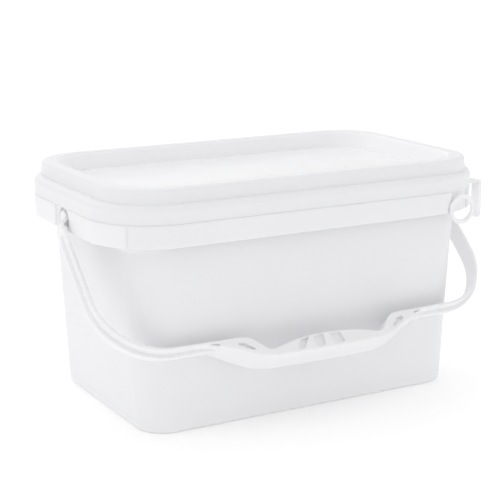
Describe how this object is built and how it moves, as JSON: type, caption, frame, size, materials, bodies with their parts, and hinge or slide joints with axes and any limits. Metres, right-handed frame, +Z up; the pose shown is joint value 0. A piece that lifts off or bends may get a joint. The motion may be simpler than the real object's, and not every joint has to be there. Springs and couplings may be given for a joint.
{
  "type": "paint bucket",
  "caption": "Oblong lidded plastic bucket with a swinging carry handle, a press-on lid with a sunken top, and a tear strip with a pull ring round its collar.",
  "frame": {"origin": "middle of the base, on the face that the bucket stands on", "axes": "+X along the long side, towards the end with the pull ring and the lifting tab; -Y towards the front, where the handle hangs and the tear strip is; +Z up"},
  "size_m": [0.3764, 0.2307, 0.2003],
  "materials": {
    "tub_plastic": "satin white polypropylene, slightly translucent",
    "lid_plastic": "satin white polypropylene, slightly smoother on the sunken panel",
    "handle_plastic": "satin white polypropylene"
  },
  "bodies": {
    "tub": {"tub": "tub_plastic"},
    "lid": {"lid": "lid_plastic"},
    "handle": {"handle": "handle_plastic"},
    "tear_strip": {"tear_strip": "tub_plastic"},
    "pull_ring": {"pull_ring": "tub_plastic"}
  },
  "joints": [
    {"name": "handle_swing", "type": "hinge", "parent": "tub", "child": "handle", "pos_m": [0, 0, 0.1635], "axis": [-1, 0, 0], "range_deg": [0, 266]},
    {"name": "lid_lift", "type": "slide", "parent": "tub", "child": "lid", "axis": [0, 0, 1], "range_m": [0, 0.06]},
    {"name": "strip_pull", "type": "slide", "parent": "tub", "child": "tear_strip", "axis": [0, -1, 0], "range_m": [0, 0.022]},
    {"name": "ring_swing", "type": "hinge", "parent": "tear_strip", "child": "pull_ring", "pos_m": [0.1298, -0.1069, 0.1623], "axis": [-0.3225, 0, -0.9466], "range_deg": [0, 75]}
  ]
}
